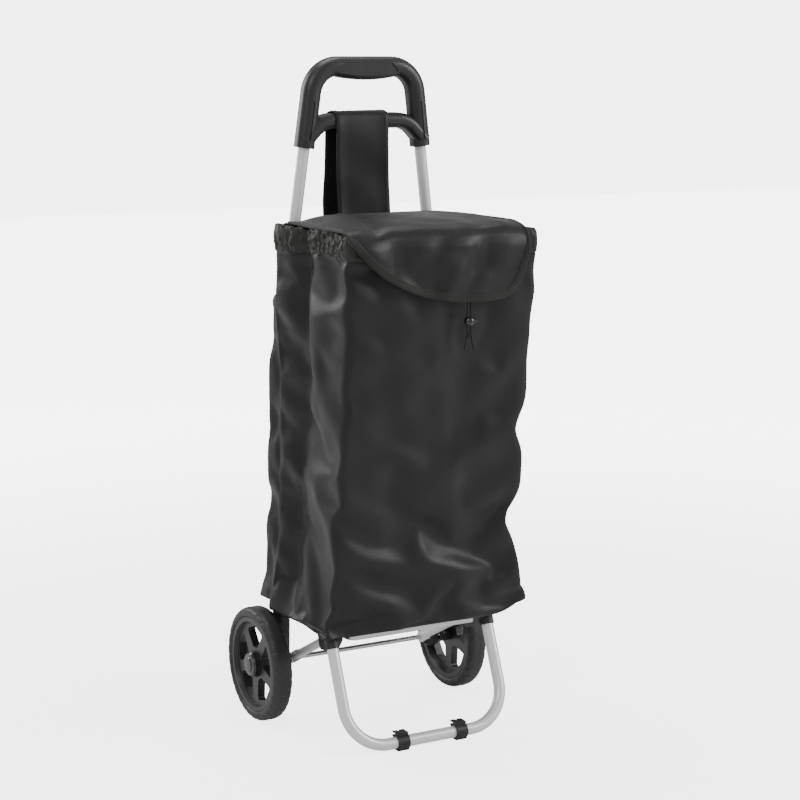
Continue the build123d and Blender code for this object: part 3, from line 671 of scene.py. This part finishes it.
# The apron stands off the bag in soft folds.
out_by = 0.0016 * np.sin(x * 52 + 0.8 + z * 9) + 0.0012 * np.sin(x * 97 - z * 30)
for rise, start, end, wide in APRON_CREASES:
    out_by = out_by + rise * ditch(x, z, start, end, wide)
out_by = out_by + 0.0010 * hills(drape, 0.06, 31, 2)
drape[:, 1] -= (0.0016 + np.clip(out_by, -0.0030, 0.0042)) * apron
lid = make("lid_cloth", drape, [f[::-1] for f in grid_faces(ROWS, COLS)], NYLON, "lid")
cloth_grid = drape.reshape(ROWS, COLS, 3)
make_cloth(lid, 0.0008, 0)
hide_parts("lid")

# Binding tape folded over the lid's free edge: side, apron, side.
TAPE_STEPS, TAPE_WIDE = 420, 0.0095
edge = [cloth_grid[i, 0] for i in range(1, ROWS - 1)]
inner = [cloth_grid[i, 2] for i in range(1, ROWS - 1)]
edge += [cloth_grid[ROWS - 1, j] for j in range(COLS)]
inner += [cloth_grid[ROWS - 3, j] for j in range(COLS)]
edge += [cloth_grid[i, COLS - 1] for i in range(ROWS - 2, 0, -1)]
inner += [cloth_grid[i, COLS - 3] for i in range(ROWS - 2, 0, -1)]
edge, inner = np.array(edge), np.array(inner)


def soften(line, times):
    """The polyline with its kinks averaged away; the ends stay."""
    line = line.copy()
    for _ in range(times):
        line[1:-1] = (line[:-2] + 2 * line[1:-1] + line[2:]) / 4
    return line


along_edge = run_along(edge)
at = np.linspace(0, along_edge[-1], TAPE_STEPS)
edge = np.stack([np.interp(at, along_edge, edge[:, k]) for k in range(3)], axis=1)
inner = np.stack([np.interp(at, along_edge, inner[:, k]) for k in range(3)], axis=1)
edge = soften(edge, 6)
inward = soften(inner - edge, 12)
ahead = unit(np.gradient(edge, axis=0))
inward = unit(inward - ahead * (inward * ahead).sum(1)[:, None])
normal = unit(soften(np.cross(ahead, inward), 8))
upper = [(-0.0006, 0.0012), (0.0015, 0.0017), (TAPE_WIDE * 0.5, 0.0016),
         (TAPE_WIDE - 0.001, 0.0014), (TAPE_WIDE, 0.0006)]
section = [(-0.0010, 0.0), *upper, *((a, -h) for a, h in upper[::-1])]
ripple = 0.00035 * np.sin(at / 0.0052 * 6.2832 + 2 * np.sin(at * 47))
tape_points = []
for a, h in section:
    p = edge + inward * a + normal * (h + np.sign(h) * ripple)[:, None]
    tape_points.append(p)
tape_points = np.array(tape_points).reshape(-1, 3)
binding = make("lid_edge_tape", tape_points, grid_faces(len(section), TAPE_STEPS, True, False),
               TAPE, "lid")
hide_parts("lid_binding")

# Strap: doubled webbing over the crossbar, hemmed along both edges.
STRAP_STEPS, STRAP_HALF = 260, 0.0400
BAR_Y = frame_y(0.828)
PANEL_TOP = AXLE_Y - 0.003
STRAP_LINE = [
    (-0.0010, AXLE_Y - 0.0325, 0.640), (-0.0035, AXLE_Y - 0.0312, 0.700),
    (-0.0060, AXLE_Y - 0.0308, 0.755), (-0.0090, BAR_Y - 0.0162, 0.806),
    (-0.0095, BAR_Y - 0.0163, 0.830), (-0.0095, BAR_Y - 0.0135, 0.8385),
    (-0.0095, BAR_Y - 0.0060, 0.8408), (-0.0095, BAR_Y + 0.0060, 0.8408),
    (-0.0095, BAR_Y + 0.0135, 0.8385), (-0.0095, BAR_Y + 0.0163, 0.830),
    (-0.0095, BAR_Y + 0.0162, 0.806), (-0.0090, PANEL_TOP + 0.0095, 0.700),
    (-0.0085, PANEL_TOP + 0.0028, 0.610), (-0.0080, PANEL_TOP + 0.0040, 0.590),
    (-0.0080, PANEL_TOP + 0.0050, 0.557),
]


def smooth_line(points, count):
    """Evenly spaced points on the NURBS spline that has these control points."""
    data = bpy.data.curves.new("route", "CURVE")
    data.dimensions = "3D"
    spline = data.splines.new("NURBS")
    spline.points.add(len(points) - 1)
    for point, p in zip(spline.points, points):
        point.co = (*p, 1)
    spline.order_u = 3
    spline.use_endpoint_u = True
    spline.resolution_u = 24
    obj = bpy.data.objects.new("route", data)
    bpy.context.scene.collection.objects.link(obj)
    graph = bpy.context.evaluated_depsgraph_get()
    mesh = bpy.data.meshes.new_from_object(obj.evaluated_get(graph))
    line = coordinates(mesh)
    bpy.data.objects.remove(obj)
    run = run_along(line)
    want = np.linspace(0, run[-1], count)
    return np.stack([np.interp(want, run, line[:, k]) for k in range(3)], axis=1), want


middle_line, strap_run = smooth_line(STRAP_LINE, STRAP_STEPS)
face_out = unit(np.cross(unit(np.gradient(middle_line, axis=0)), (1.0, 0, 0)))
if face_out[20, 1] > 0:
    face_out = -face_out

# Section of the webbing from its left edge to near its middle: place across and half thickness.
left_half = [
    (-STRAP_HALF, 0.0004), (-STRAP_HALF + 0.0012, 0.00125), (-STRAP_HALF + 0.0062, 0.00115),
    (-STRAP_HALF + 0.0072, 0.0008), (-0.020, 0.0009), (-0.007, 0.0010),
]
upper = left_half + [(-w, t) for w, t in left_half[::-1]]
strap_section = upper + [(w, -t) for w, t in upper[::-1]]
strap_points = []
for w, t in strap_section:
    cup = 0.0006 * np.sin(strap_run * 31 + 1) * (1 - (w / STRAP_HALF) ** 2)
    cup = cup + 0.0005 * np.sin(strap_run * 84 + 60 * w)
    edge_wave = 0.0004 * np.sin(strap_run * 60 + (2 if w > 0 else 0)) * (abs(w) / STRAP_HALF) ** 3
    p = middle_line + face_out * (t + cup)[:, None]
    p[:, 0] += w + edge_wave * np.sign(w)
    strap_points.append(p)
strap_points = np.array(strap_points).reshape(-1, 3)
strap_faces = grid_faces(len(strap_section), STRAP_STEPS, True, False)
strap_faces.append(tuple(i * STRAP_STEPS for i in range(len(strap_section)))[::-1])
strap_faces.append(tuple((i + 1) * STRAP_STEPS - 1 for i in range(len(strap_section))))
strap = make("carry_strap", strap_points, strap_faces, STRAP, "frame")
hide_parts("strap")

# Stitches: length and the thread's radius.
STITCH, THREAD_R = 0.0026, 0.00032


def stitches(name, line, outward, gap, body):
    """A run of thread stitches lying on a line."""
    run = run_along(line)
    points, faces = [], []
    at = gap
    while at + STITCH < run[-1]:
        ends = []
        for s in np.linspace(at, at + STITCH, 4):
            p = np.array([np.interp(s, run, line[:, k]) for k in range(3)])
            n = np.array([np.interp(s, run, outward[:, k]) for k in range(3)])
            ends.append((p, n))
        way = ends[-1][0] - ends[0][0]
        way /= np.linalg.norm(way)
        base = len(points)
        for k, (p, n) in enumerate(ends):
            side = np.cross(way, n)
            fat = THREAD_R * (0.55 if k in (0, 3) else 1.0)
            rise = 0.15 * THREAD_R if k in (0, 3) else 0.75 * THREAD_R
            for a in range(5):
                t = a / 5 * 6.2832
                points.append(p + n * (rise + fat * math.sin(t) * 0.6) + side * fat * math.cos(t))
        for k in range(3):
            for a in range(5):
                c = (a + 1) % 5
                faces.append((base + k * 5 + a, base + k * 5 + c,
                              base + k * 5 + 5 + c, base + k * 5 + 5 + a))
        faces.append(tuple(base + a for a in range(4, -1, -1)))
        faces.append(tuple(base + 15 + a for a in range(5)))
        at += STITCH + gap
    return make(name, points, faces, THREAD, body)


# Two seams along the strap's edges and two across its end.
STRAP_GAP = 0.0012
SEAM_FROM, SEAM_TO = 24, 250
for k, w in enumerate((-STRAP_HALF + 0.0050, STRAP_HALF - 0.0050)):
    outward = face_out[SEAM_FROM:SEAM_TO]
    line = middle_line[SEAM_FROM:SEAM_TO] + outward * 0.00118
    line[:, 0] += w
    stitches(f"strap_stitch_{k}", line, outward, STRAP_GAP, "frame")
for k, row in enumerate((250, 226)):
    middle = middle_line[row] + face_out[row] * 0.0010
    line = np.array([(middle[0] + w, middle[1], middle[2]) for w in np.linspace(-0.034, 0.034, 40)])
    outward = np.repeat(face_out[240][None], len(line), 0)
    stitches(f"strap_end_stitch_{k}", line, outward, STRAP_GAP, "frame")

# Stitching through the lid's binding tape.
outer = -normal if normal[TAPE_STEPS // 2, 1] > 0 else normal
seam_line = edge + inward * (TAPE_WIDE - 0.0022) + outer * 0.00165
lid_seam = stitches("lid_tape_stitch", seam_line[4:416], outer[4:416], 0.0013, "lid")

# Tyres: rounded tread with slanted grooves across both shoulders.
RIM_R, WHEEL_R, WHEEL_X, WHEEL_Z, TYRE_HALF = 0.066, 0.0798, 0.155, 0.080, 0.0144
TURN_STEPS, GROOVES = 540, 30


def tyre(side, sign):
    """A tyre with shoulder grooves on the wheel at this side."""
    profile = [(-TYRE_HALF + 0.0022, RIM_R + 0.0002), (-TYRE_HALF, RIM_R + 0.0028)]
    for k in range(23):
        a = math.pi * (1 - k / 22)
        wide = math.copysign(abs(math.cos(a)) ** 0.62, math.cos(a))
        profile.append((wide * TYRE_HALF, RIM_R + 0.0045 + (WHEEL_R - RIM_R - 0.0045)
                        * math.sin(a) ** 0.70))
    profile += [(TYRE_HALF, RIM_R + 0.0028), (TYRE_HALF - 0.0022, RIM_R + 0.0002)]
    angle = np.arange(TURN_STEPS) / TURN_STEPS * 2 * math.pi
    points = []
    for x, r in profile:
        shoulder = math.exp(-((abs(x) - 0.0112) / 0.0036) ** 2)
        slant = angle * GROOVES + np.sign(x) * (abs(x) - 0.008) * 330
        cut = np.clip((np.cos(slant) - 0.45) / 0.3, 0, 1)
        sink = 0.0007 * shoulder * cut + 0.0006 * math.exp(-(x / 0.0011) ** 2)
        radius = r - sink * (1 if r > RIM_R + 0.006 else 0)
        width = x - np.sign(x) * sink * 0.5
        points.append(np.stack([
            sign * WHEEL_X + sign * width,
            AXLE_Y + radius * np.cos(angle),
            WHEEL_Z + radius * np.sin(angle),
        ], axis=1))
    points = np.array(points).reshape(-1, 3)
    faces = grid_faces(len(profile), TURN_STEPS, True, True)
    if sign > 0:
        faces = [f[::-1] for f in faces]
    obj = make(f"tyre_{side}_grooved", points, faces, TYRE, f"wheel_{side}")
    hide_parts(f"tyre_{side}")


tyre("left", -1)
tyre("right", 1)

# Drawcord: two strands out of the hem, through the ball lock to a knot.
CORD_X, CORD_Y, KNOT_Z = 0.044, AXLE_Y - 0.2296, 0.557
CORD_D, CORD_APART = 0.0026, 0.0026


def knot():
    """A small knot, drawn as a trefoil of cord."""
    t = np.arange(120) / 120 * 2 * math.pi
    line = np.stack([np.sin(t) + 2 * np.sin(2 * t), -np.sin(3 * t), np.cos(t) - 2 * np.cos(2 * t)],
                    axis=1) * 0.00108
    line[:, 1] *= 1.25
    line += (CORD_X, CORD_Y, KNOT_Z)
    ahead = unit(np.roll(line, -1, axis=0) - np.roll(line, 1, axis=0))
    side = unit(np.cross(ahead, (0.3, 1, 0.2)))
    rise = np.cross(side, ahead)
    points = [line + (side * math.cos(a) + rise * math.sin(a)) * CORD_D / 2
              for a in np.arange(10) / 10 * 2 * math.pi]
    return make("drawcord_knot", np.array(points).reshape(-1, 3), grid_faces(10, 120, True, True),
                CORD, "frame")


tied = knot()
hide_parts("cord_knot")
for name, s in (("left", -1), ("right", 1)):
    data = bpy.data.curves.new(f"drawcord_{name}", "CURVE")
    data.dimensions = "3D"
    data.bevel_depth = CORD_D / 2
    data.bevel_resolution = 4
    data.use_fill_caps = True
    spline = data.splines.new("NURBS")
    route = [
        (CORD_X + s * CORD_APART, CORD_Y, 0.657),
        (CORD_X + s * CORD_APART, CORD_Y, KNOT_Z + 0.0146),
        (CORD_X + s * CORD_APART, CORD_Y, KNOT_Z - 0.003),
        (CORD_X + s * 0.007, CORD_Y, KNOT_Z - 0.020),
    ]
    spline.points.add(len(route) - 1)
    for point, p in zip(spline.points, route):
        point.co = (*p, 1)
    spline.order_u = 3
    spline.use_endpoint_u = True
    spline.resolution_u = 16
    data.materials.append(CORD)
    strand = bpy.data.objects.new(f"drawcord_{name}", data)
    bpy.context.scene.collection.objects.link(strand)
    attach(strand, "frame")
    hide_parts("drawcord")

# Stage: camera, lamps, pale surroundings and a floor with a painted glow that fades into them.
camera_data = bpy.data.cameras.new("camera")
camera_data.lens = 88.24
camera_data.sensor_width = 36
camera_data.clip_end = 30
camera = bpy.data.objects.new("camera", camera_data)
camera.location = (-1.2735, -2.3155, 0.9048)
camera.rotation_euler = Vector((0.4822, 0.8596, -0.1693)).to_track_quat("-Z", "Y").to_euler()
bpy.context.scene.collection.objects.link(camera)
bpy.context.scene.camera = camera


def lamp(name, place, aim, size, power, colour=(1, 1, 1)):
    """A soft rectangular light."""
    data = bpy.data.lights.new(name, "AREA")
    data.shape = "RECTANGLE"
    data.size, data.size_y = size
    data.energy = power
    data.color = colour
    light = bpy.data.objects.new(name, data)
    light.location = place
    light.rotation_euler = (Vector(aim) - Vector(place)).to_track_quat("-Z", "Y").to_euler()
    bpy.context.scene.collection.objects.link(light)


lamp("key", (-2.3, -1.4, 2.3), (0, 0, 0.5), (0.9, 1.3), 22)
lamp("fill", (2.4, -1.9, 1.7), (0, 0, 0.45), (0.8, 1.6), 50)
lamp("top", (0.1, 0.4, 2.7), (0, 0, 0.5), (1.3, 1.3), 25)
lamp("back", (-1.3, 2.2, 1.5), (0, 0, 0.6), (0.9, 1.5), 26)


def two_looks(tree, seen, lit, target):
    """Sends the seen shader to target where the camera looks straight at it, else the lit one."""
    path = add(tree, "ShaderNodeLightPath")
    mix = add(tree, "ShaderNodeMixShader")
    tree.links.new(path.outputs["Is Camera Ray"], mix.inputs["Fac"])
    tree.links.new(lit.outputs[0], mix.inputs[1])
    tree.links.new(seen.outputs[0], mix.inputs[2])
    tree.links.new(mix.outputs[0], target.inputs["Surface"])


world = bpy.data.worlds.new("studio")
world.use_nodes = True
sky = world.node_tree
sky.nodes["Background"].inputs["Color"].default_value = (1, 1, 1, 1)
sky.nodes["Background"].inputs["Strength"].default_value = 0.5
glow = add(sky, "ShaderNodeBackground")
glow.inputs["Strength"].default_value = 6.5
two_looks(sky, glow, sky.nodes["Background"], sky.nodes["World Output"])
bpy.context.scene.world = world
ground, ground_tree, ground_shader = material("floor_white")
ground_shader.inputs["Base Color"].default_value = (0.78, 0.78, 0.78, 1)
ground_shader.inputs["Roughness"].default_value = 0.8
pale = add(ground_tree, "ShaderNodeBsdfDiffuse")
pale.inputs["Color"].default_value = (0.97, 0.97, 0.97, 1)
# Painted glow: camera rays also see the floor emit light, weaker near the trolley and stronger far
# away, where it fades into the backdrop.
floor_glow = add(ground_tree, "ShaderNodeEmission")
# The painted glow's strength rises with distance from the origin, from 3.2 near the trolley to 5.4
# far off, so the floor is painted darker round the trolley.
reach = add(ground_tree, "ShaderNodeMapRange", interpolation_type="SMOOTHERSTEP")
for slot, value in (("From Min", 0.2), ("From Max", 2.6), ("To Min", 3.2), ("To Max", 5.4)):
    reach.inputs[slot].default_value = value
away = add(ground_tree, "ShaderNodeVectorMath", operation="LENGTH")
spot = add(ground_tree, "ShaderNodeTexCoord")
ground_tree.links.new(spot.outputs["Object"], away.inputs[0])
ground_tree.links.new(away.outputs["Value"], reach.inputs["Value"])
ground_tree.links.new(reach.outputs["Result"], floor_glow.inputs["Strength"])
both = add(ground_tree, "ShaderNodeAddShader")
ground_tree.links.new(pale.outputs[0], both.inputs[0])
ground_tree.links.new(floor_glow.outputs[0], both.inputs[1])
# The camera sees the pale floor lit by the lamps plus its painted glow; all other rays see a plain
# grey floor.
two_looks(ground_tree, both, ground_shader, ground_tree.nodes["Material Output"])
floor = make("floor", [(-9, -9, 0), (9, -9, 0), (9, 9, 0), (-9, 9, 0)], [(0, 1, 2, 3)],
             ground, None)
